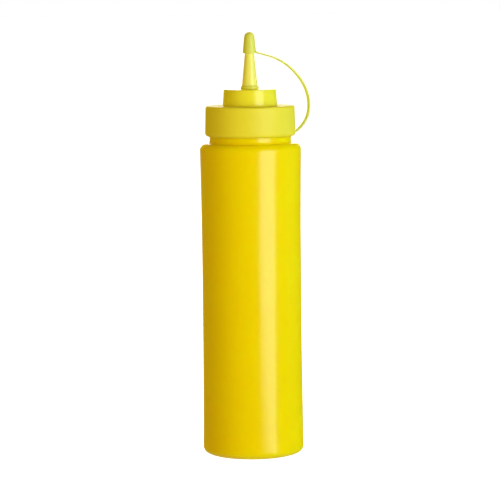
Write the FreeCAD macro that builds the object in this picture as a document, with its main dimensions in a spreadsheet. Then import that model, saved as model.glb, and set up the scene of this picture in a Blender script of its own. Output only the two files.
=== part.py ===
import FreeCAD, Part
import math
import os
import Sketcher
from FreeCAD import Vector

# Condiment squeeze bottle with a screw cap, a tapered nozzle and a tip cover held by a strap.
# Millimetres. The origin is the centre of the base on the bottle's axis and +Z is up. The
# strap bends in the XZ plane, on the +X side.
#
# Two pieces: the bottle, and the cap, which is one moulding with its nozzle, strap and cover.
# The cap is drawn in its own frame, with its zero height at the skirt's lower edge, and its
# Placement sets it on the neck, whose top carries the cap's ceiling.

SIZES = [
    ("foot_radius", 24.37, "bottle wall at the foot, before rounding"),
    ("grip_radius", 23.93, "bottle wall along the straight grip, a little drawn in"),
    ("grip_start", 48.0, "height where the wall stops narrowing"),
    ("grip_end", 118.0, "height where the wall starts to widen again"),
    ("shoulder_radius", 24.27, "bottle wall at the shoulder, before rounding"),
    ("wall_height", 149.7, "height of the shoulder's corner before rounding"),
    ("foot_round", 2.8, "rounding between base and wall"),
    ("shoulder_round", 3.2, "rounding between wall and shoulder"),
    ("shoulder_rise", 0.4, "rise of the shoulder from wall to neck"),
    ("rest_ring_radius", 18.5, "inner radius of the flat ring that the bottle stands on"),
    ("push_up", 2.0, "height of the dome inside the rest ring"),
    ("neck_radius", 19.5, "neck's plain outer wall"),
    ("neck_root_round", 0.8, "rounding between shoulder and neck"),
    ("neck_gap", 3.1, "neck left in view between shoulder and skirt"),
    ("cap_clearance", 0.15, "radial room between neck and skirt"),
    ("cap_ceiling", 2.0, "thickness of the cap's top over the neck"),
    ("skirt_wall", 2.05, "wall of the skirt at its lower edge"),
    ("skirt_draft", 0.4, "how far the skirt draws in up to its top face"),
    ("skirt_height", 14.5, "skirt from lower edge to top face"),
    ("skirt_lower_round", 1.7, "rounding of the skirt's lower edge"),
    ("skirt_upper_round", 1.2, "rounding of the skirt's upper edge"),
    ("collar_radius", 13.05, "step collar at its foot"),
    ("collar_top_radius", 12.45, "step collar at its top"),
    ("collar_height", 7.9, "height of the step collar"),
    ("collar_round", 0.4, "rounding of the collar's upper edge"),
    ("collar_foot_round", 0.4, "rounding where the collar stands on the skirt's top"),
    ("ring_radius", 4.3, "ring round the nozzle's foot"),
    ("ring_height", 1.5, "height of that ring"),
    ("ring_round", 0.5, "rounding of the ring's upper edge"),
    ("nozzle_radius", 3.75, "nozzle where it leaves the ring"),
    ("nozzle_tip_radius", 1.45, "nozzle at its tip"),
    ("nozzle_height", 24.6, "nozzle tip above the collar"),
    ("cover_height", 17.1, "rim of the tip cover above the collar"),
    ("cover_clearance", 0.12, "room between nozzle and cover"),
    ("cover_wall", 0.9, "wall of the cover at its rim"),
    ("cover_dome", 2.52, "radius of the cover's round top"),
    ("cover_crown", 2.48, "thickness of the cover's top over its cup"),
    ("strap_width", 2.4, "strap across its bend"),
    ("strap_thickness", 0.65, "strap through its flat"),
    ("strap_edge_round", 0.2, "rounding of the strap's long edges"),
    ("root_height", 0.6, "middle of the strap's root above the skirt's lower edge"),
    ("root_inset", 1.45, "depth of the strap's root inside the skirt"),
    ("root_stub", 1.1, "level start of the strap, mostly inside the skirt"),
    ("root_bend", 6.8, "radius of the bend outside the skirt"),
    ("root_heading", 43.0, "slope of the straight run above the root, in degrees"),
    ("root_run", 2.4, "length of that straight run"),
    ("lower_bend", 12.6, "radius of the tight bend low on the strap"),
    ("lower_heading", 85.0, "slope where the tight bend ends, in degrees"),
    ("middle_heading", 121.0, "slope where the middle bend ends, in degrees"),
    ("cover_heading", 165.5, "slope of the straight run into the cover, in degrees"),
    ("cover_run", 7.2, "length of the straight run into the cover"),
    ("cover_rise", 0.5, "middle of the strap's end above the cover's rim"),
    ("cover_inset", 0.37, "depth of the strap's end inside the cover's wall"),
]

# Heights and radii that follow from the sizes. Those of the cap count from its skirt's edge.
NECK_ROOT = "Sizes.wall_height + Sizes.shoulder_rise"
CAP_HEIGHT = f"{NECK_ROOT} + Sizes.neck_gap"
CEILING_HEIGHT = "Sizes.skirt_height - Sizes.cap_ceiling"
NECK_TOP = f"{CAP_HEIGHT} + {CEILING_HEIGHT}"
RECESS_RADIUS = "Sizes.neck_radius + Sizes.cap_clearance"
SKIRT_RADIUS = f"{RECESS_RADIUS} + Sizes.skirt_wall"
SKIRT_TOP_RADIUS = f"{SKIRT_RADIUS} - Sizes.skirt_draft"
COLLAR_TOP = "Sizes.skirt_height + Sizes.collar_height"
RING_TOP = f"{COLLAR_TOP} + Sizes.ring_height"
NOZZLE_TIP = f"{COLLAR_TOP} + Sizes.nozzle_height"
TAPER = (
    "(Sizes.nozzle_radius - Sizes.nozzle_tip_radius)"
    " / (Sizes.nozzle_height - Sizes.ring_height)"
)
COVER_RIM = f"{COLLAR_TOP} + Sizes.cover_height"
CUP_TIP_RADIUS = "Sizes.nozzle_tip_radius + Sizes.cover_clearance"
CUP_RIM_RADIUS = f"{CUP_TIP_RADIUS} + {TAPER} * (Sizes.nozzle_height - Sizes.cover_height)"
CUP_CEILING = f"{NOZZLE_TIP} + Sizes.cover_clearance"
COVER_TOP = f"{CUP_CEILING} + Sizes.cover_crown"
COVER_RADIUS = f"{CUP_RIM_RADIUS} + Sizes.cover_wall"
ROOT_START = f"{SKIRT_RADIUS} - Sizes.root_inset"

X_AXIS = -1
Z_AXIS = -2
ORIGIN = (-1, 1)
START, END, CENTRE = 1, 2, 3
NEAR = 1e-4

doc = FreeCAD.newDocument("SqueezeBottle")
sheet = doc.addObject("Spreadsheet::Sheet", "Sizes")


def fill_sheet():
    """Write each size's name, number and meaning in a row of the sheet."""
    for row, (name, size, meaning) in enumerate(SIZES, start=1):
        sheet.set(f"A{row}", name)
        sheet.set(f"B{row}", str(size))
        sheet.set(f"C{row}", meaning)
        sheet.setAlias(f"B{row}", name)
    doc.recompute()


def value(expression):
    """The number that an expression in the sheet's names gives."""
    return float(sheet.evalExpression(expression))


def sketch_on(body, role, name):
    """A sketch on one of the body's own origin planes."""
    plane = next(item for item in body.Origin.OriginFeatures if item.Role == role)
    sketch = body.newObject("Sketcher::SketchObject", name)
    sketch.AttachmentSupport = (plane, [""])
    sketch.MapMode = "FlatFace"
    return sketch


def dimension(sketch, name, kind, where, expression):
    """Add one dimension and bind it to the sheet."""
    number = value(expression)
    if kind == "Angle":
        number = math.radians(number)
    index = sketch.addConstraint(Sketcher.Constraint(kind, *where, number))
    sketch.renameConstraint(index, name)
    sketch.setExpression(f"Constraints.{name}", expression)


def join(sketch, kind, *where):
    """Add a constraint that has no size, such as Coincident or Tangent."""
    sketch.addConstraint(Sketcher.Constraint(kind, *where))


def place(sketch, name, point, radius, height):
    """Bind a point of the sketch to a radius and a height, either of which can be on an axis."""
    if radius == "0":
        join(sketch, "PointOnObject", *point, Z_AXIS)
    else:
        dimension(sketch, f"{name}_radius", "DistanceX", (*ORIGIN, *point), radius)
    if height == "0":
        join(sketch, "PointOnObject", *point, X_AXIS)
    else:
        dimension(sketch, f"{name}_height", "DistanceY", (*ORIGIN, *point), height)


def line(sketch, start, end):
    """Add a straight side and give its number."""
    return sketch.addGeometry(Part.LineSegment(start, end), False)


def arc(sketch, centre, radius, start_angle, end_angle):
    """Add an arc that runs counter-clockwise between two angles in radians."""
    circle = Part.Circle(centre, Vector(0, 0, 1), radius)
    return sketch.addGeometry(Part.ArcOfCircle(circle, start_angle, end_angle), False)


def polar(centre, radius, angle):
    """The point of a circle at an angle in radians."""
    return centre + Vector(radius * math.cos(angle), radius * math.sin(angle), 0)


def close_outline(sketch, corners):
    """Join corners, each a name, a radius and a height, with straight sides into a ring."""
    points = [Vector(value(radius), value(height), 0) for _, radius, height in corners]
    sides = [line(sketch, a, b) for a, b in zip(points, points[1:] + points[:1])]
    for side, following in zip(sides, sides[1:] + sides[:1]):
        join(sketch, "Coincident", side, END, following, START)
    for side, corner in zip(sides, corners):
        place(sketch, corner[0], (side, START), corner[1], corner[2])


def revolve(body, sketch, name, kind="PartDesign::Revolution"):
    """Turn a sketch round the Z axis, to add material or, as a Groove, to cut it."""
    feature = body.newObject(kind, name)
    feature.Profile = sketch
    feature.ReferenceAxis = (sketch, ["V_Axis"])
    feature.Angle = 360
    doc.recompute()
    return feature


def rim(shape, radius, height):
    """The name of the circular edge about the Z axis that has this radius and height."""
    for number, edge in enumerate(shape.Edges, start=1):
        if edge.Degenerated or not isinstance(edge.Curve, Part.Circle):
            continue
        if abs(edge.Curve.Radius - radius) < NEAR and abs(edge.Curve.Center.z - height) < NEAR:
            return f"Edge{number}"
    raise RuntimeError(f"no edge of radius {radius} at height {height}")


def round_rim(body, base, name, radius, height, rounding):
    """Round the circular edge at this radius and height, and give the new tip."""
    fillet = body.newObject("PartDesign::Fillet", name)
    fillet.Base = (base, [rim(base.Shape, value(radius), value(height))])
    fillet.setExpression("Radius", rounding)
    doc.recompute()
    return fillet


def bottle_outline(body):
    """Half of the bottle's section: base, wall drawn in along the grip, shoulder and neck."""
    sketch = sketch_on(body, "XZ_Plane", "BottleOutline")
    corners = [
        ("middle", "0", "0"),
        ("foot", "Sizes.foot_radius", "0"),
        ("grip_start", "Sizes.grip_radius", "Sizes.grip_start"),
        ("grip_end", "Sizes.grip_radius", "Sizes.grip_end"),
        ("shoulder", "Sizes.shoulder_radius", "Sizes.wall_height"),
        ("neck_root", "Sizes.neck_radius", NECK_ROOT),
        ("neck_top", "Sizes.neck_radius", NECK_TOP),
        ("neck_middle", "0", NECK_TOP),
    ]
    close_outline(sketch, corners)
    return sketch


def push_up_outline(body):
    """Half of the shallow dome under the base, an arc centred on the axis below the bottle."""
    sketch = sketch_on(body, "XZ_Plane", "PushUpOutline")
    ring = value("Sizes.rest_ring_radius")
    rise = value("Sizes.push_up")
    radius = (ring**2 + rise**2) / (2 * rise)
    centre = Vector(0, rise - radius, 0)
    edge_angle = math.atan2(radius - rise, ring)
    dome = arc(sketch, centre, radius, edge_angle, math.pi / 2)
    axis = line(sketch, Vector(0, rise, 0), Vector(0, 0, 0))
    floor = line(sketch, Vector(0, 0, 0), Vector(ring, 0, 0))
    join(sketch, "Coincident", dome, END, axis, START)
    join(sketch, "Coincident", axis, END, floor, START)
    join(sketch, "Coincident", floor, END, dome, START)
    join(sketch, "PointOnObject", dome, CENTRE, Z_AXIS)
    place(sketch, "crown", (axis, START), "0", "Sizes.push_up")
    place(sketch, "middle", (floor, START), "0", "0")
    place(sketch, "ring", (floor, END), "Sizes.rest_ring_radius", "0")
    return sketch


def make_bottle():
    """The blow-moulded bottle: base with a rest ring, wall, shoulder and plain neck."""
    body = doc.addObject("PartDesign::Body", "Bottle")
    body.Label = "bottle"
    tip = revolve(body, bottle_outline(body), "Blank")
    whole = tip.Shape.Volume
    tip = revolve(body, push_up_outline(body), "PushUp", "PartDesign::Groove")
    if tip.Shape.Volume >= whole - 1:
        raise RuntimeError("the push-up cut nothing from the base")
    roundings = [
        ("FootRound", "Sizes.foot_radius", "0", "Sizes.foot_round"),
        ("ShoulderRound", "Sizes.shoulder_radius", "Sizes.wall_height", "Sizes.shoulder_round"),
        ("NeckRootRound", "Sizes.neck_radius", NECK_ROOT, "Sizes.neck_root_round"),
    ]
    for name, radius, height, rounding in roundings:
        tip = round_rim(body, tip, name, radius, height, rounding)
    body.Tip = tip
    return body


def cap_outline(body):
    """Half of the cap's section: skirt with its recess for the neck, collar, ring, nozzle."""
    sketch = sketch_on(body, "XZ_Plane", "CapOutline")
    corners = [
        ("ceiling_middle", "0", CEILING_HEIGHT),
        ("recess_top", RECESS_RADIUS, CEILING_HEIGHT),
        ("recess_edge", RECESS_RADIUS, "0"),
        ("skirt_edge", SKIRT_RADIUS, "0"),
        ("skirt_top", SKIRT_TOP_RADIUS, "Sizes.skirt_height"),
        ("collar_foot", "Sizes.collar_radius", "Sizes.skirt_height"),
        ("collar_top", "Sizes.collar_top_radius", COLLAR_TOP),
        ("ring_foot", "Sizes.ring_radius", COLLAR_TOP),
        ("ring_top", "Sizes.ring_radius", RING_TOP),
        ("nozzle_foot", "Sizes.nozzle_radius", RING_TOP),
        ("nozzle_tip", "Sizes.nozzle_tip_radius", NOZZLE_TIP),
        ("tip_middle", "0", NOZZLE_TIP),
    ]
    close_outline(sketch, corners)
    return sketch


def strap_spine(body):
    """The strap's middle line from the skirt to the cover: runs and tangent arcs, all one way.

    Its two widest arcs have no size of their own: their radii are the ones that close the path
    between the skirt and the cover.
    """
    sketch = sketch_on(body, "XZ_Plane", "StrapSpine")
    start = Vector(value(ROOT_START), value("Sizes.root_height"), 0)
    end = Vector(
        value(f"{COVER_RADIUS} - Sizes.cover_inset"),
        value(f"{COVER_RIM} + Sizes.cover_rise"),
        0,
    )
    root, lower, middle, last = [
        math.radians(value(f"Sizes.{name}_heading"))
        for name in ("root", "lower", "middle", "cover")
    ]

    def along(heading):
        return Vector(math.cos(heading), math.sin(heading), 0)

    def round_bend(first, second):
        return Vector(
            math.sin(second) - math.sin(first), math.cos(first) - math.cos(second), 0
        )

    settled = (
        along(0) * value("Sizes.root_stub")
        + round_bend(0, root) * value("Sizes.root_bend")
        + along(root) * value("Sizes.root_run")
        + round_bend(root, lower) * value("Sizes.lower_bend")
        + along(last) * value("Sizes.cover_run")
    )
    rest = end - start - settled
    first, second = round_bend(lower, middle), round_bend(middle, last)
    cross = first.x * second.y - first.y * second.x
    middle_bend = (rest.x * second.y - rest.y * second.x) / cross
    upper_bend = (first.x * rest.y - first.y * rest.x) / cross
    if min(middle_bend, upper_bend) <= 0:
        raise RuntimeError("the strap's bends do not close between skirt and cover")

    pen = start
    sides = []
    steps = [
        (0, 0, value("Sizes.root_stub")),
        (0, root, value("Sizes.root_bend")),
        (root, root, value("Sizes.root_run")),
        (root, lower, value("Sizes.lower_bend")),
        (lower, middle, middle_bend),
        (middle, last, upper_bend),
        (last, last, value("Sizes.cover_run")),
    ]
    for heading, next_heading, amount in steps:
        if heading == next_heading:
            next_pen = pen + along(heading) * amount
            sides.append(line(sketch, pen, next_pen))
        else:
            centre = polar(pen, amount, heading + math.pi / 2)
            quarter = math.pi / 2
            sides.append(arc(sketch, centre, amount, heading - quarter, next_heading - quarter))
            next_pen = pen + round_bend(heading, next_heading) * amount
        pen = next_pen
    for side, following in zip(sides, sides[1:]):
        join(sketch, "Tangent", side, END, following, START)
    stub, root_arc, run, lower_arc, middle_arc, _, last_run = sides
    place(sketch, "root", (stub, START), ROOT_START, "Sizes.root_height")
    join(sketch, "Horizontal", stub)
    dimension(sketch, "stub", "Distance", (stub,), "Sizes.root_stub")
    dimension(sketch, "root_bend", "Radius", (root_arc,), "Sizes.root_bend")
    dimension(sketch, "root_heading", "Angle", (run,), "Sizes.root_heading")
    dimension(sketch, "root_run", "Distance", (run,), "Sizes.root_run")
    dimension(sketch, "lower_bend", "Radius", (lower_arc,), "Sizes.lower_bend")
    lower_turn = "Sizes.lower_heading - Sizes.root_heading"
    dimension(sketch, "lower_turn", "Angle", (lower_arc,), lower_turn)
    middle_turn = "Sizes.middle_heading - Sizes.lower_heading"
    dimension(sketch, "middle_turn", "Angle", (middle_arc,), middle_turn)
    dimension(sketch, "cover_heading", "Angle", (last_run,), "Sizes.cover_heading")
    dimension(sketch, "cover_run", "Distance", (last_run,), "Sizes.cover_run")
    cover_end = (f"{COVER_RADIUS} - Sizes.cover_inset", f"{COVER_RIM} + Sizes.cover_rise")
    place(sketch, "cover", (last_run, END), *cover_end)
    return sketch


def strap_section(body):
    """The strap's section across its root: a flat rectangle with rounded corners."""
    sketch = sketch_on(body, "YZ_Plane", "StrapSection")
    sketch.setExpression(".AttachmentOffset.Base.z", ROOT_START)
    sketch.setExpression(".AttachmentOffset.Base.y", "Sizes.root_height")
    wide = value("Sizes.strap_width") / 2
    thick = value("Sizes.strap_thickness") / 2
    radius = value("Sizes.strap_edge_round")
    inner_wide, inner_thick = wide - radius, thick - radius
    quarter = math.pi / 2
    sides, corners = [], []
    ends = [
        (Vector(wide, -inner_thick, 0), Vector(wide, inner_thick, 0)),
        (Vector(inner_wide, thick, 0), Vector(-inner_wide, thick, 0)),
        (Vector(-wide, inner_thick, 0), Vector(-wide, -inner_thick, 0)),
        (Vector(-inner_wide, -thick, 0), Vector(inner_wide, -thick, 0)),
    ]
    centres = [
        Vector(inner_wide, inner_thick, 0),
        Vector(-inner_wide, inner_thick, 0),
        Vector(-inner_wide, -inner_thick, 0),
        Vector(inner_wide, -inner_thick, 0),
    ]
    for turn, (start, end) in enumerate(ends):
        sides.append(line(sketch, start, end))
        corners.append(arc(sketch, centres[turn], radius, turn * quarter, (turn + 1) * quarter))
    for turn, corner in enumerate(corners):
        join(sketch, "Tangent", sides[turn], END, corner, START)
        join(sketch, "Tangent", corner, END, sides[(turn + 1) % len(sides)], START)
    right, top, left, bottom = sides
    for side in (right, left):
        join(sketch, "Vertical", side)
    for side in (top, bottom):
        join(sketch, "Horizontal", side)
    for corner in corners[1:]:
        join(sketch, "Equal", corners[0], corner)
    join(sketch, "Symmetric", top, START, bottom, START, *ORIGIN)
    dimension(sketch, "edge_round", "Radius", (corners[0],), "Sizes.strap_edge_round")
    flat = "(Sizes.strap_width / 2 - Sizes.strap_edge_round)"
    dimension(sketch, "half_flat", "DistanceX", (*ORIGIN, top, START), flat)
    edge = "Sizes.strap_thickness / 2"
    dimension(sketch, "half_thickness", "DistanceY", (*ORIGIN, top, START), edge)
    return sketch


def make_strap(body):
    """The strap: its section carried along its spine, from inside the skirt into the cover."""
    spine = strap_spine(body)
    section = strap_section(body)
    doc.recompute()
    strap = body.newObject("PartDesign::AdditivePipe", "Strap")
    strap.Profile = section
    strap.Spine = spine
    doc.recompute()
    return strap


def cover_outline(body):
    """Half of the tip cover's section: a cup that follows the nozzle, with a round top."""
    sketch = sketch_on(body, "XZ_Plane", "CoverOutline")
    rim_height = value(COVER_RIM)
    top_height = value(COVER_TOP)
    dome_radius = value("Sizes.cover_dome")
    cup_rim = Vector(value(CUP_RIM_RADIUS), rim_height, 0)
    cover_rim = Vector(value(COVER_RADIUS), rim_height, 0)
    centre = Vector(0, top_height - dome_radius, 0)
    reach = cover_rim - centre
    touch_angle = math.atan2(reach.y, reach.x) + math.acos(dome_radius / reach.Length)
    touch = polar(centre, dome_radius, touch_angle)
    crown = Vector(0, top_height, 0)
    cup_middle = Vector(0, value(CUP_CEILING), 0)
    cup_tip = Vector(value(CUP_TIP_RADIUS), value(CUP_CEILING), 0)
    edge = line(sketch, cup_rim, cover_rim)
    side = line(sketch, cover_rim, touch)
    dome = arc(sketch, centre, dome_radius, touch_angle, math.pi / 2)
    axis = line(sketch, crown, cup_middle)
    ceiling = line(sketch, cup_middle, cup_tip)
    cup_wall = line(sketch, cup_tip, cup_rim)
    join(sketch, "Coincident", edge, END, side, START)
    join(sketch, "Tangent", side, END, dome, START)
    join(sketch, "Coincident", dome, END, axis, START)
    join(sketch, "Coincident", axis, END, ceiling, START)
    join(sketch, "Coincident", ceiling, END, cup_wall, START)
    join(sketch, "Coincident", cup_wall, END, edge, START)
    join(sketch, "PointOnObject", dome, CENTRE, Z_AXIS)
    dimension(sketch, "dome", "Radius", (dome,), "Sizes.cover_dome")
    place(sketch, "cup_rim", (edge, START), CUP_RIM_RADIUS, COVER_RIM)
    place(sketch, "cover_rim", (side, START), COVER_RADIUS, COVER_RIM)
    place(sketch, "crown", (axis, START), "0", COVER_TOP)
    place(sketch, "cup_middle", (ceiling, START), "0", CUP_CEILING)
    place(sketch, "cup_tip", (cup_wall, START), CUP_TIP_RADIUS, CUP_CEILING)
    return sketch


def make_cap():
    """The moulded cap: skirt, step collar and nozzle, and the strap with its tip cover."""
    body = doc.addObject("PartDesign::Body", "Cap")
    body.Label = "cap"
    body.setExpression(".Placement.Base.z", CAP_HEIGHT)
    tip = revolve(body, cap_outline(body), "Shell")
    roundings = [
        ("SkirtLowerRound", SKIRT_RADIUS, "0", "Sizes.skirt_lower_round"),
        ("SkirtUpperRound", SKIRT_TOP_RADIUS, "Sizes.skirt_height", "Sizes.skirt_upper_round"),
        ("CollarFootRound", "Sizes.collar_radius", "Sizes.skirt_height", "Sizes.collar_foot_round"),
        ("CollarRound", "Sizes.collar_top_radius", COLLAR_TOP, "Sizes.collar_round"),
        ("RingRound", "Sizes.ring_radius", RING_TOP, "Sizes.ring_round"),
    ]
    for name, radius, height, rounding in roundings:
        tip = round_rim(body, tip, name, radius, height, rounding)
    before = tip.Shape.Volume
    tip = make_strap(body)
    if tip.Shape.Volume <= before + 1:
        raise RuntimeError("the strap added nothing to the cap")
    body.Tip = revolve(body, cover_outline(body), "Cover")
    return body


def check_document():
    """Stop if any object of the document failed or any sketch is left loose."""
    for item in doc.Objects:
        if "Invalid" in item.State or "Error" in item.State:
            raise RuntimeError(f"{item.Label} failed: {item.State}")
        if item.TypeId == "Sketcher::SketchObject" and not item.FullyConstrained:
            raise RuntimeError(f"{item.Label} is not fully constrained")


def check_piece(body):
    """Stop unless the piece is one sound solid."""
    shape = body.Shape
    if shape.isNull() or not shape.isValid() or len(shape.Solids) != 1:
        raise RuntimeError(f"{body.Label} is not one sound solid")


def report(body):
    """Print the piece's volume and box."""
    box = body.Shape.optimalBoundingBox()
    low = [round(number, 3) for number in (box.XMin, box.YMin, box.ZMin)]
    high = [round(number, 3) for number in (box.XMax, box.YMax, box.ZMax)]
    print(f"{body.Label}: {body.Shape.Volume:.0f} mm3, from {low} to {high}")


fill_sheet()
pieces = [make_bottle(), make_cap()]
doc.recompute()
check_document()
for piece in pieces:
    check_piece(piece)
os.makedirs("parts", exist_ok=True)
for piece in pieces:
    piece.Shape.exportStep(f"parts/{piece.Label}.step")
    report(piece)
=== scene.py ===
import math

import bpy
import numpy as np
from mathutils import Matrix, Vector


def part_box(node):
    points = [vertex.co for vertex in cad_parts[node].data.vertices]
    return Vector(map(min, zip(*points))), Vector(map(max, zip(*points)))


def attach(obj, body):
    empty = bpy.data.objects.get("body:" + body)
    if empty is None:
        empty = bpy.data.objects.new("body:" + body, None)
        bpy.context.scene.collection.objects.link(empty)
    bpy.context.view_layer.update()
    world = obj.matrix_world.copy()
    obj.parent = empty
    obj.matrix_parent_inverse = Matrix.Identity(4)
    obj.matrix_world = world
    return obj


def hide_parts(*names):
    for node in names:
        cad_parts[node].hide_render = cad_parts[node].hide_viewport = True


# Looks of a condiment squeeze bottle: a blow-moulded bottle, and a cap moulded in one with its
# nozzle, strap and tip cover. Blender works in metres. The shapes are drawn in millimetres, and
# materials and studio are in metres.

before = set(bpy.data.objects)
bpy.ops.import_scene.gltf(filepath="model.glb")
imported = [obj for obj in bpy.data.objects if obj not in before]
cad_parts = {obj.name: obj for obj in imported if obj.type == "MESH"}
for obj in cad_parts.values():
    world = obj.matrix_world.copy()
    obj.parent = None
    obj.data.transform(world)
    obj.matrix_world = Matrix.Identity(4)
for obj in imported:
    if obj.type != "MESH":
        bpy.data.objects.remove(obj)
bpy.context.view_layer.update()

MM = 0.001
CAP_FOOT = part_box("cap")[0][2] / MM
COVER_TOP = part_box("cap")[1][2] / MM

# Bottle, from the base up.
REST_RING, PUSH_UP = 18.5, 2.0
FOOT_RADIUS, FOOT_ROUND = 24.35, 2.8
GRIP_RADIUS, GRIP_START, GRIP_END = 23.93, 48.0, 118.0
GRIP_START_BEND, GRIP_END_BEND = 3500, 2500
SHOULDER_RADIUS, SHOULDER_ROUND, WALL_TOP = 24.27, 3.2, 149.7
NECK_RADIUS, NECK_ROOT, NECK_ROOT_ROUND, NECK_TOP_ROUND = 19.5, 150.1, 1.3, 0.4

# What the blown wall loses: the depth of one wave, and the waves as (times round, rise), where a
# wave turns by TURN_PER_RISE radians up each rise. They fade in above WAVES_FROM and out below
# WAVES_TO, over WAVES_FADE each.
WAVE_DEPTH, WAVES_SEED, TURN_PER_RISE = 0.018, 11, 2.4
WAVES = (2, 31.0), (3, 47.0), (5, 23.0), (4, 71.0)
WAVES_FROM, WAVES_TO, WAVES_FADE = 3, 148, 12

# Cap, with heights from its lower edge up.
CAP_ROOM, CEILING, RECESS_ROUND = 0.15, 12.5, 0.25
SKIRT_RADIUS, SKIRT_TOP_RADIUS, SKIRT_HEIGHT = 21.7, 21.3, 14.5
SKIRT_FOOT_ROUND, SKIRT_TOP_ROUND = 1.7, 1.0
COLLAR_RADIUS, COLLAR_TOP_RADIUS, COLLAR_TOP = 13.05, 12.45, 22.4
COLLAR_FOOT_ROUND, COLLAR_TOP_ROUND = 0.7, 0.3
RING_RADIUS, RING_TOP, RING_FOOT_ROUND, RING_TOP_ROUND = 4.3, 23.9, 0.3, 0.5
NOZZLE_RADIUS, NOZZLE_FOOT_ROUND = 3.75, 0.5
TIP_RADIUS, TIP_HEIGHT, TIP_ROUND = 1.45, 47.0, 0.2

# Tip cover: its cup, then its outside.
CUP_CEILING, CUP_TIP_RADIUS, CUP_TIP_ROUND = 47.12, 1.57, 0.2
CUP_RIM_RADIUS, CUP_RIM_ROUND = 2.317, 0.12
COVER_RIM, COVER_RADIUS, COVER_RIM_ROUND, COVER_DOME = 39.5, 3.217, 0.3, 2.52

# Strap: its section, how far its ends lie inside skirt and cover and above their rims, and its
# runs and bends from the skirt on. The headings are in degrees up from level.
STRAP_WIDTH, STRAP_THICKNESS, STRAP_EDGE = 2.4, 0.65, 0.2
ROOT_INSET, ROOT_HEIGHT = 1.45, 0.6
END_INSET, END_HEIGHT = 0.37, 0.5
STUB, ROOT_BEND, ROOT_RUN, LOW_BEND, END_RUN = 1.1, 6.8, 2.4, 12.6, 7.2
HEADINGS = 43.0, 85.0, 121.0, 165.5

# How the strap grows where it meets skirt and cover: over what length from its end it is fullest,
# over what length that fades, and how much wider and thicker it is there.
ROOT_FULL, ROOT_FADE, ROOT_WIDER, ROOT_THICKER = 1.3, 0.5, 0.10, 0.55
END_FULL, END_FADE, END_WIDER, END_THICKER = 0.5, 0.45, 0.06, 0.35

# Points of a line nearer than SAME_POINT are one, an added point stays TOO_NEAR of the spacing
# away from its neighbours, and NEVER_ZERO keeps a division from being by zero.
SAME_POINT, TOO_NEAR, NEVER_ZERO = 1e-4, 0.3, 1e-9


# ---------------------------------------------------------------- shapes

def rounded(corners, steps=12):
    """The line through corners, each (across, up, rounding). A corner becomes an arc that touches
    its two sides: the centre is rounding / sin(half the corner) along the bisector, and the arc
    swings a quarter turn less half the corner to each side of it."""
    data = np.array(corners, float)
    here, radius = data[:, :2], data[:, 2:3]
    back, on = np.roll(here, 1, 0) - here, np.roll(here, -1, 0) - here
    back /= np.linalg.norm(back, axis=1, keepdims=True)
    on /= np.linalg.norm(on, axis=1, keepdims=True)
    half = np.arccos(np.clip((back * on).sum(1, keepdims=True), -1, 1)) / 2
    inward, along = back + on, on - back
    inward /= np.maximum(np.linalg.norm(inward, axis=1, keepdims=True), NEVER_ZERO)
    along /= np.maximum(np.linalg.norm(along, axis=1, keepdims=True), NEVER_ZERO)
    centre = here + inward * radius / np.sin(half)
    swing = np.linspace(-1, 1, steps) * (math.pi / 2 - half)
    arcs = (
        centre[:, None]
        - radius[:, None] * np.cos(swing)[..., None] * inward[:, None]
        + radius[:, None] * np.sin(swing)[..., None] * along[:, None]
    )
    line = arcs.reshape(-1, 2)
    keep = np.r_[True, np.linalg.norm(np.diff(line, axis=0), axis=1) > SAME_POINT]
    return line[keep]


def lengths_along(line):
    """How far along the line each of its points lies."""
    return np.r_[0, np.cumsum(np.linalg.norm(np.diff(line, axis=0), axis=1))]


def spaced(line, spacing):
    """The same line with more points: its own and one every `spacing` of its length, apart from
    those that would come too near to one of its own."""
    length = lengths_along(line)
    extra = np.arange(spacing, length[-1], spacing)
    near = np.abs(extra[:, None] - length[None]).min(1)
    at = np.sort(np.r_[length, extra[near > TOO_NEAR * spacing]])
    return np.stack([np.interp(at, length, line[:, 0]), np.interp(at, length, line[:, 1])], 1)


def stand(name, mesh):
    """An object with this mesh, in the scene."""
    thing = bpy.data.objects.new(name, mesh)
    bpy.context.collection.objects.link(thing)
    return thing


def skin(name, rings, first, last):
    """A closed mesh over rings of points, rings[i, j]: four-sided faces between neighbouring
    rings, and a fan of triangles from the point `first` to ring 0 and from `last` to the end."""
    count, around = rings.shape[:2]
    points = np.concatenate([rings.reshape(-1, 3), [first], [last]]) * MM
    i, j = np.meshgrid(np.arange(count - 1), np.arange(around), indexing="ij")
    turn = (j + 1) % around
    quads = np.stack(
        [i * around + j, i * around + turn, (i + 1) * around + turn, (i + 1) * around + j], -1
    ).reshape(-1, 4)
    j = np.arange(around)
    turn = (j + 1) % around
    top = (count - 1) * around
    start = np.stack([np.full(around, count * around), turn, j], 1)
    end = np.stack([np.full(around, count * around + 1), top + j, top + turn], 1)
    mesh = bpy.data.meshes.new(name)
    mesh.from_pydata(points.tolist(), [], quads.tolist() + start.tolist() + end.tolist())
    mesh.polygons.foreach_set("use_smooth", np.ones(len(mesh.polygons), bool))
    mesh.update()
    return stand(name, mesh)


def turned(name, line, around, foot=0.0, waver=None):
    """A line of (radius, height) turned about the upright axis: a point is (radius cos turn,
    radius sin turn, foot + height). The line starts and ends on the axis. `waver` gives what is
    taken off the radius at each height and turn."""
    line = line + (0, foot)
    turn = np.linspace(0, 2 * math.pi, around, endpoint=False)[None]
    radius, height = line[1:-1, 0:1], line[1:-1, 1:2]
    if waver is not None:
        radius = radius - waver(height, turn)
    rings = np.stack(
        [radius * np.cos(turn), radius * np.sin(turn), height + 0 * turn], -1
    )
    return skin(name, rings, (0, 0, line[0, 1]), (0, 0, line[-1, 1]))


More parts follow.
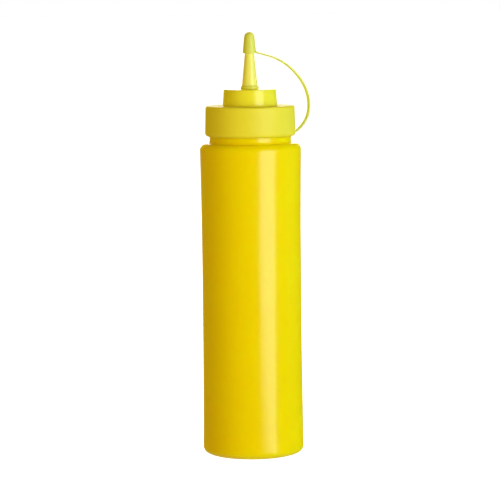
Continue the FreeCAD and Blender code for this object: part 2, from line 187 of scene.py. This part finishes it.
def wall_waver(height, turn):
    """What the blown wall loses: slow waves round it and up it, each the product of two sines,
    lifted so that they only ever draw the wall in, and faded out at base and shoulder."""
    chance = np.random.default_rng(WAVES_SEED)
    waves = 0
    for rounds, rise in WAVES:
        shift, lift = chance.uniform(0, 2 * math.pi, 2)
        around, upward = rounds * turn + shift, height / rise * TURN_PER_RISE + lift
        waves = waves + np.sin(around) * np.sin(upward)
    fade_in = np.clip((height - WAVES_FROM) / WAVES_FADE, 0, 1)
    fade_out = np.clip((WAVES_TO - height) / WAVES_FADE, 0, 1)
    return WAVE_DEPTH * (waves + len(WAVES)) * fade_in * fade_out


def make_bottle():
    """Base with a shallow dome inside the rest ring, wall drawn in along the grip on long easy
    bends, shoulder and plain neck. The dome is part of a ball of radius (ring squared + rise
    squared) / (2 rise), whose height at a reach is the root of radius squared - reach squared."""
    reach = np.linspace(0, REST_RING, num=40)
    ball = (REST_RING**2 + PUSH_UP**2) / (2 * PUSH_UP)
    dome = np.stack([reach, PUSH_UP - ball + np.sqrt(ball**2 - reach**2)], 1)
    neck_top = CAP_FOOT + CEILING
    wall = rounded([
        (REST_RING, 0, 0),
        (FOOT_RADIUS, 0, FOOT_ROUND),
        (GRIP_RADIUS, GRIP_START, GRIP_START_BEND),
        (GRIP_RADIUS, GRIP_END, GRIP_END_BEND),
        (SHOULDER_RADIUS, WALL_TOP, SHOULDER_ROUND),
        (NECK_RADIUS, NECK_ROOT, NECK_ROOT_ROUND),
        (NECK_RADIUS, neck_top, NECK_TOP_ROUND),
        (0, neck_top, 0),
    ], steps=14)
    line = spaced(np.concatenate([dome[:-1], wall]), spacing=1.3)
    return turned("bottle_wall", line, around=160, waver=wall_waver)


def make_cap():
    """Skirt with its recess, step collar, ring and nozzle, as one turned moulding."""
    line = rounded([
        (0, CEILING, 0),
        (NECK_RADIUS + CAP_ROOM, CEILING, 0),
        (NECK_RADIUS + CAP_ROOM, 0, RECESS_ROUND),
        (SKIRT_RADIUS, 0, SKIRT_FOOT_ROUND),
        (SKIRT_TOP_RADIUS, SKIRT_HEIGHT, SKIRT_TOP_ROUND),
        (COLLAR_RADIUS, SKIRT_HEIGHT, COLLAR_FOOT_ROUND),
        (COLLAR_TOP_RADIUS, COLLAR_TOP, COLLAR_TOP_ROUND),
        (RING_RADIUS, COLLAR_TOP, RING_FOOT_ROUND),
        (RING_RADIUS, RING_TOP, RING_TOP_ROUND),
        (NOZZLE_RADIUS, RING_TOP, NOZZLE_FOOT_ROUND),
        (TIP_RADIUS, TIP_HEIGHT, TIP_ROUND),
        (0, TIP_HEIGHT, 0),
    ])
    return turned("cap_shell", spaced(line, spacing=0.8), around=144, foot=CAP_FOOT)


def make_cover():
    """The tip cover: a cup that follows the nozzle, with flared side and round top. The top is an
    arc about a point on the axis. It starts where the side from the rim touches it: at the angle
    at which that point sees the rim, plus the arc cosine of arc radius / distance to the rim."""
    centre = COVER_TOP - CAP_FOOT - COVER_DOME
    across, up = COVER_RADIUS, COVER_RIM - centre
    touch = math.atan2(up, across) + math.acos(COVER_DOME / math.hypot(across, up))
    swing = np.linspace(touch, math.pi / 2, num=18)
    dome = np.stack([COVER_DOME * np.cos(swing), centre + COVER_DOME * np.sin(swing)], 1)
    cup = rounded([
        (0, CUP_CEILING, 0),
        (CUP_TIP_RADIUS, CUP_CEILING, CUP_TIP_ROUND),
        (CUP_RIM_RADIUS, COVER_RIM, CUP_RIM_ROUND),
        (COVER_RADIUS, COVER_RIM, COVER_RIM_ROUND),
        (*dome[0], 0),
    ])
    line = spaced(np.concatenate([cup[:-1], dome]), spacing=0.35)
    return turned("tip_cover", line, around=96, foot=CAP_FOOT)


def run(heading, length):
    """The way that a straight run covers."""
    return length * np.array([math.cos(heading), math.sin(heading)])


def bend(first, second):
    """The way that a bend of radius 1 covers from one heading to another."""
    return np.array([math.sin(second) - math.sin(first), math.cos(first) - math.cos(second)])


def strap_path():
    """The strap's middle line. Its heading runs evenly from each (length, heading) to the next,
    so that it is made of straight runs and bends, and the points are the running sum of cosine
    and sine of the heading. The two widest bends get the radii that end the line at the cover.
    A short running mean then eases one bend into the next."""
    start = np.array([SKIRT_RADIUS - ROOT_INSET, ROOT_HEIGHT])
    end = np.array([COVER_RADIUS - END_INSET, COVER_RIM + END_HEIGHT])
    root, low, middle, last = np.radians(HEADINGS)
    known = (
        run(0, STUB) + ROOT_BEND * bend(0, root) + run(root, ROOT_RUN)
        + LOW_BEND * bend(root, low) + run(last, END_RUN)
    )
    radii = np.linalg.solve(
        np.stack([bend(low, middle), bend(middle, last)], 1), end - start - known
    )
    parts = np.array([
        0, STUB, ROOT_BEND * root, ROOT_RUN, LOW_BEND * (low - root),
        radii[0] * (middle - low), radii[1] * (last - middle), END_RUN,
    ])
    ends = np.cumsum(parts)
    at = np.linspace(0, ends[-1], num=620)
    heading = np.interp(at, ends, [0, 0, root, root, low, middle, last, last])
    step = at[1]
    ways = np.stack([np.cos(heading), np.sin(heading)], 1)
    line = start + np.r_[[[0, 0]], np.cumsum((ways[1:] + ways[:-1]) / 2 * step, axis=0)]
    margin, thinning = 20, 4
    lead = line[0] - np.arange(margin, 0, -1)[:, None] * step * ways[0]
    tail = line[-1] + np.arange(1, margin + 1)[:, None] * step * ways[-1]
    longer = np.concatenate([lead, line, tail])
    window = np.ones(2 * margin + 1) / (2 * margin + 1)
    eased = np.stack([np.convolve(longer[:, k], window, "valid") for k in (0, 1)], 1)
    return eased[::thinning]


def make_strap():
    """A flat section with rounded edges carried along the strap's line: a point is the line's
    point plus its share of the width across the bend and of the thickness along the line's
    normal. Both grow a little at the two ends, where the moulding runs into its neighbours. The
    growth is full for a short length, and falls by exp(-length past that / fade) after it."""
    line = strap_path()
    way = np.gradient(line, axis=0)
    way /= np.linalg.norm(way, axis=1, keepdims=True)
    length = lengths_along(line)
    wide, thick = STRAP_WIDTH / 2, STRAP_THICKNESS / 2
    loop = spaced(rounded([
        (wide, -thick, STRAP_EDGE), (wide, thick, STRAP_EDGE),
        (-wide, thick, STRAP_EDGE), (-wide, -thick, STRAP_EDGE),
    ], steps=5), spacing=0.3)
    root = np.exp(-np.clip(length - ROOT_FULL, 0, None) / ROOT_FADE)
    tip = np.exp(-np.clip(length[-1] - END_FULL - length, 0, None) / END_FADE)
    width = (1 + ROOT_WIDER * root + END_WIDER * tip)[:, None]
    depth = (1 + ROOT_THICKER * root + END_THICKER * tip)[:, None]
    across, through = width * loop[:, 0], depth * loop[:, 1]
    rings = np.stack([
        line[:, 0:1] - through * way[:, 1:2],
        across,
        CAP_FOOT + line[:, 1:2] + through * way[:, 0:1],
    ], -1)
    return skin("strap", rings, rings[0].mean(0), rings[-1].mean(0))


# ---------------------------------------------------------------- finishes

WHITE = (1, 1, 1, 1)
BOTTLE_PALE, BOTTLE_DEEP = (0.95, 0.77, 0.0), (0.94, 0.75, 0.0)
CAP_PALE, CAP_DEEP = (0.87, 0.80, 0.05), (0.85, 0.78, 0.04)
# The nozzle's paler colour is painted light, standing in for light shining through the slim
# nozzle.
COLLAR_GREEN, NOZZLE_PAINTED_GLOW = (0.88, 0.85, 0.05), (0.92, 0.93, 0.24)
COVER_PALE, COVER_DEEP = (0.78, 0.84, 0.18), (0.75, 0.80, 0.15)
STRAP_PALE, STRAP_DEEP = (0.66, 0.77, 0.24), (0.64, 0.75, 0.21)

# The cap's gloss changes from GLOSS_LINE up, and each of its tints around a step; the nozzle's
# paler tint is painted light. The line is in millimetres from the cap's lower edge, and the rest
# are in metres from the line or the step.
SKIRT_ROUGHNESS, SMOOTHER_ABOVE = 0.50, 0.29
GLOSS_LINE, GLOSS_FADE = SKIRT_HEIGHT - 0.3, 0.0006
TINT_FROM, TINT_TO = -0.0002, 0.002

# Noises: how many patches each has to the metre, and how much each changes.
DRIFT, SPECK, SMEAR, SHEEN, GRAIN, DIMPLES = 38, 900, 260, 60, 1400, 170
SPECK_SHARE, SMEAR_DEPTH, SHEEN_DEPTH, DIMPLE_DEPTH = 0.2, 0.10, 0.04, 0.5
SMEAR_STRETCH, DRIFT_BAND = (1, 1, 0.4), (0.36, 0.64)


class Wire:
    """A socket in an expression. An operator adds the Math node that works it out."""

    def __init__(self, tree, socket):
        self.tree, self.socket = tree, socket

    def math(self, operation, *values):
        return self.tree.math(operation, self, *values)

    def __add__(self, other):
        return self.math("ADD", other)

    def __radd__(self, other):
        return self.math("ADD", other)

    def __sub__(self, other):
        return self.math("SUBTRACT", other)

    def __rsub__(self, other):
        return (self * -1).math("ADD", other)

    def __mul__(self, other):
        return self.math("MULTIPLY", other)

    def __rmul__(self, other):
        return self.math("MULTIPLY", other)

    def __pow__(self, other):
        return self.math("POWER", other)

    def between(self, low, high):
        """0 below low, 1 above high, and a smooth rise from one to the other."""
        return self.tree.node(
            "ShaderNodeMapRange", {"interpolation_type": "SMOOTHSTEP"},
            {"Value": self, "From Min": low, "From Max": high},
        )


class Tree:
    """The nodes of one material or of the world."""

    def __init__(self, owner):
        owner.use_nodes = True
        self.nodes, self.links = owner.node_tree.nodes, owner.node_tree.links
        self.nodes.clear()

    def node(self, kind, settings=None, sockets=None, output=0):
        """Add a node: its settings first, then its sockets' values or links. Gives one output."""
        added = self.nodes.new(kind)
        for key, setting in (settings or {}).items():
            setattr(added, key, setting)
        for key, given in (sockets or {}).items():
            if isinstance(given, Wire):
                self.links.new(given.socket, added.inputs[key])
            else:
                added.inputs[key].default_value = given
        return Wire(self, added.outputs[output]) if len(added.outputs) else None

    def math(self, operation, *values):
        return self.node("ShaderNodeMath", {"operation": operation}, dict(enumerate(values)))

    def noise(self, scale, detail=2.0, stretch=(1, 1, 1)):
        """Noise over the piece's own coordinates, `scale` patches to the metre."""
        place = self.node("ShaderNodeTexCoord", output="Object")
        place = self.node("ShaderNodeMapping", {}, {"Vector": place, "Scale": stretch})
        return self.node(
            "ShaderNodeTexNoise", {}, {"Vector": place, "Scale": scale, "Detail": detail}
        )

    def dot(self, first, second):
        """How far one direction lies along another: the sum of the products of their parts."""
        return self.node(
            "ShaderNodeVectorMath", {"operation": "DOT_PRODUCT"}, {0: first, 1: second},
            output="Value",
        )

    def mix(self, amount, first, second):
        """A colour between two colours."""
        return self.node(
            "ShaderNodeMix", {"data_type": "RGBA"}, {0: amount, 6: first, 7: second}, output=2
        )


def moulded(name, pale, deep, gloss, bumps, glow, spread, shine=0.5, tint=None):
    """Moulded polyethylene. Its colour drifts between two yellows, its gloss between two
    roughnesses, fine grain and shallow dimples show as bumps, and light sinks in and spreads."""
    material = bpy.data.materials.new(name)
    tree = Tree(material)
    drift = tree.noise(DRIFT, 3) * (1 - SPECK_SHARE) + tree.noise(SPECK) * SPECK_SHARE
    colour = tree.mix(drift.between(*DRIFT_BAND), (*deep, 1), (*pale, 1))
    if tint is not None:
        colour = tint(tree, colour)
    smear = (tree.noise(SMEAR, 4, SMEAR_STRETCH) - 0.5) * SMEAR_DEPTH
    normal = tree.node(
        "ShaderNodeBump", {}, {"Height": bumps(tree), "Strength": 0.35, "Distance": 0.0003}
    )
    plastic = tree.node("ShaderNodeBsdfPrincipled", {"subsurface_method": "RANDOM_WALK"}, {
        "Base Color": colour,
        "Roughness": gloss(tree) + smear,
        "Normal": normal,
        "IOR": 1.51,
        "Specular IOR Level": shine,
        "Subsurface Weight": glow,
        "Subsurface Radius": spread,
        "Subsurface Scale": 1.0,
    })
    tree.node("ShaderNodeOutputMaterial", {}, {"Surface": plastic})
    return material


def height_of(tree):
    """Height over the base in metres."""
    place = tree.node("ShaderNodeTexCoord", output="Object")
    return tree.node("ShaderNodeSeparateXYZ", {}, {"Vector": place}, output="Z")


def even(roughness):
    """The same gloss all over, apart from a slight sheen that comes and goes."""
    return lambda tree: tree.noise(SHEEN) * SHEEN_DEPTH + (roughness - SHEEN_DEPTH / 2)


def grain(amount):
    """Fine grain over shallow dimples."""
    return lambda tree: tree.noise(GRAIN, 3) * amount + tree.noise(DIMPLES) * DIMPLE_DEPTH


def cap_gloss(tree):
    """Frosted up to the skirt's top, and smooth above it."""
    line = (CAP_FOOT + GLOSS_LINE) * MM
    smooth = height_of(tree).between(line, line + GLOSS_FADE)
    return SKIRT_ROUGHNESS - smooth * SMOOTHER_ABOVE


def cap_tint_and_painted_glow(tree, colour):
    """The slimmer the cap gets, the more light it lets through. The collar is a little greener
    than the skirt, and the nozzle is painted paler: painted light that stands in for the light
    shining through the slim nozzle."""
    height = height_of(tree)
    for step, above in ((SKIRT_HEIGHT, COLLAR_GREEN), (COLLAR_TOP, NOZZLE_PAINTED_GLOW)):
        line = (CAP_FOOT + step) * MM
        change = height.between(line + TINT_FROM, line + TINT_TO)
        colour = tree.mix(change, colour, (*above, 1))
    return colour


# ---------------------------------------------------------------- pieces

bottle = make_bottle()
cap = make_cap()
cover = make_cover()
strap = make_strap()

bottle.data.materials.append(moulded(
    "bottle_plastic", BOTTLE_PALE, BOTTLE_DEEP, gloss=even(0.20), bumps=grain(0.25),
    glow=0.6, spread=(0.008, 0.005, 0.001), shine=0.38,
))
# The cap's colour steps by height, and the nozzle's paler step is painted light shining through
# it.
cap.data.materials.append(moulded(
    "cap_plastic", CAP_PALE, CAP_DEEP, gloss=cap_gloss, bumps=grain(0.5),
    glow=0.1, spread=(0.004, 0.003, 0.001), shine=0.45, tint=cap_tint_and_painted_glow,
))
cover.data.materials.append(moulded(
    "cover_plastic", COVER_PALE, COVER_DEEP, gloss=even(0.34), bumps=grain(0.3),
    glow=0.4, spread=(0.002, 0.0015, 0.001),
))
strap.data.materials.append(moulded(
    "strap_plastic", STRAP_PALE, STRAP_DEEP, gloss=even(0.42), bumps=grain(0.3),
    glow=1.0, spread=(0.003, 0.003, 0.002),
))
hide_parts("bottle")
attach(bottle, "root")
for part in (cap, cover, strap):
    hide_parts("cap")
    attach(part, "root")


# ---------------------------------------------------------------- studio

# The camera: its lens and sensor in millimetres, its turns in degrees, and its place in metres.
# CAMERA_TURN is how far round the part it stands from straight in front.
LENS, SENSOR = 161.2, 36.0
CAMERA_TURN, CAMERA_PAN, CAMERA_TILT, CAMERA_LEAN = -26.0, 0.04, 6.31, -0.62
CAMERA_DISTANCE, CAMERA_HEIGHT, CAMERA_REACH = 1.0726, 0.2168, 100

# The floor: half its side, its cells along a side, and how far it lies under the base.
FLOOR_HALF, FLOOR_CELLS, FLOOR_DROP = 30, 12, 0.0002

# The room's light: everywhere, from behind, from below and from the lit backdrop.
ROOM_DIM, ROOM_BACK, ROOM_FLOOR, BACKDROP = 0.14, 0.44, 0.2, 2.5
ROOM_TINT, ROOM_GREEN = (1.0, 0.67, 0.06), (0.70, 0.75, 0.06)
OVERHEAD_LOSS, FLOOR_WHITE = 0.3, 0.7

# Where each part of the room begins and ends, in how far a direction lies along an axis.
FLOOR_BAND, OVERHEAD_BAND, GREEN_BAND = (-0.9, -0.2), (0.25, 0.9), (0.3, 0.9)
WALL_BAND, WALL_FOOT_BAND, WALL_TOP_BAND = (0.955, 0.985), (-0.02, 0.03), (0.15, 0.25)


def facing(turn, height, distance, aim):
    """Place and turning of a lamp on a circle round the bottle, aimed at a height on its axis.
    `turn` is in degrees to the right of the camera's side."""
    angle = math.radians(CAMERA_TURN - 90 + turn)
    place = Vector((distance * math.cos(angle), distance * math.sin(angle), height))
    way = Vector((0, 0, aim)) - place
    return place, way.to_track_quat("-Z", "Z").to_euler()


def lamp(name, turn, height, distance, aim, size, power, colour, shiny=True):
    """A soft box: a glowing rectangle. `size` is across and up, and `shiny` says whether its
    reflection shows."""
    light = bpy.data.lights.new(name, "AREA")
    light.shape = "RECTANGLE"
    light.size, light.size_y = size
    light.energy = power
    light.color = colour
    box = stand(name, light)
    box.location, box.rotation_euler = facing(turn, height, distance, aim)
    box.visible_glossy = shiny


def make_floor():
    """A wide flat sheet of pale board, a grid of points in one plane."""
    side = np.linspace(-FLOOR_HALF, FLOOR_HALF, FLOOR_CELLS + 1)
    across, along = np.meshgrid(side, side, indexing="ij")
    points = np.stack([across, along, np.full_like(across, -FLOOR_DROP)], -1).reshape(-1, 3)
    row = len(side)
    cells = np.arange(FLOOR_CELLS)
    corner = (cells[:, None] * row + cells[None]).reshape(-1)
    faces = np.stack([corner, corner + row, corner + row + 1, corner + 1], -1)
    mesh = bpy.data.meshes.new("floor")
    mesh.from_pydata(points.tolist(), [], faces.tolist())
    floor = stand("floor", mesh)
    material = bpy.data.materials.new("pale_board")
    tree = Tree(material)
    colour = tree.mix(tree.noise(6), (0.93, 0.93, 0.93, 1), (0.95, 0.95, 0.95, 1))
    board = tree.node("ShaderNodeBsdfPrincipled", {}, {
        "Base Color": colour,
        "Roughness": 0.9,
        "Emission Color": WHITE,
        "Emission Strength": 1.0,
    })
    tree.node("ShaderNodeOutputMaterial", {}, {"Surface": board})
    mesh.materials.append(material)
    floor.visible_diffuse = False
    floor.visible_glossy = False
    floor.visible_shadow = False


def make_room():
    """A white backdrop to look at. As light it is warm and dim on the camera's side, brighter
    behind the bottle and from the floor below, and a little dimmer overhead. A low lit wall
    stands straight behind the bottle. The light from behind goes by the square of (1 + how far
    the direction lies that way) / 2."""
    world = bpy.data.worlds.new("room")
    bpy.context.scene.world = world
    tree = Tree(world)
    angle = math.radians(CAMERA_TURN)
    way = tree.node("ShaderNodeTexCoord", output="Generated")
    aside = tree.dot(way, (math.cos(angle), math.sin(angle), 0))
    behind = tree.dot(way, (-math.sin(angle), math.cos(angle), 0))
    up = tree.node("ShaderNodeSeparateXYZ", {}, {"Vector": way}, output="Z")
    below = 1 - up.between(*FLOOR_BAND)
    light = ROOM_DIM + ROOM_BACK * (behind * 0.5 + 0.5) ** 2 + below * ROOM_FLOOR
    light = light * (1 - up.between(*OVERHEAD_BAND) * OVERHEAD_LOSS)
    wall = behind.between(*WALL_BAND) * up.between(*WALL_FOOT_BAND)
    wall = wall * (1 - up.between(*WALL_TOP_BAND))
    seen = tree.node("ShaderNodeLightPath", output="Is Camera Ray")
    white = tree.math("MAXIMUM", tree.math("MAXIMUM", seen, wall), below * FLOOR_WHITE)
    strength = seen + (1 - seen) * (light + wall * BACKDROP)
    tint = tree.mix(aside.between(*GREEN_BAND), (*ROOM_TINT, 1), (*ROOM_GREEN, 1))
    glow = tree.node("ShaderNodeBackground", {}, {
        "Color": tree.mix(white, tint, WHITE),
        "Strength": strength,
    })
    tree.node("ShaderNodeOutputWorld", {}, {"Surface": glow})


def make_camera():
    """A long lens a little above the bottle's top, looking slightly down, with a slight lean."""
    camera = stand("camera", bpy.data.cameras.new("camera"))
    camera.data.lens, camera.data.sensor_width = LENS, SENSOR
    camera.data.clip_end = CAMERA_REACH
    turn = Matrix.Rotation(math.radians(CAMERA_TURN + CAMERA_PAN), 4, "Z")
    tilt = Matrix.Rotation(math.radians(90 - CAMERA_TILT), 4, "X")
    lean = Matrix.Rotation(math.radians(CAMERA_LEAN), 4, "Z")
    angle = math.radians(CAMERA_TURN - 90)
    across, along = CAMERA_DISTANCE * math.cos(angle), CAMERA_DISTANCE * math.sin(angle)
    place = (across, along, CAMERA_HEIGHT)
    camera.matrix_world = Matrix.Translation(place) @ turn @ tilt @ lean
    bpy.context.scene.camera = camera


make_camera()
make_room()
make_floor()
lamp("key_box", turn=40.5, height=0.25, distance=1.1, aim=0.25, size=(0.70, 0.9),
     power=9.0, colour=(0.93, 1.0, 0.92))
lamp("fill_board", turn=-30, height=0.25, distance=1.3, aim=0.10, size=(1.2, 1.2),
     power=8.0, colour=(1.0, 0.72, 0.12), shiny=False)
lamp("right_board", turn=105, height=0.25, distance=1.3, aim=0.12, size=(0.9, 1.0),
     power=4.6, colour=(0.80, 1.0, 1.0), shiny=False)
lamp("back_board", turn=180, height=0.85, distance=0.9, aim=0.10, size=(0.6, 0.6),
     power=8.0, colour=(1.0, 0.93, 0.8), shiny=False)
bpy.context.scene.view_settings.view_transform = "Standard"
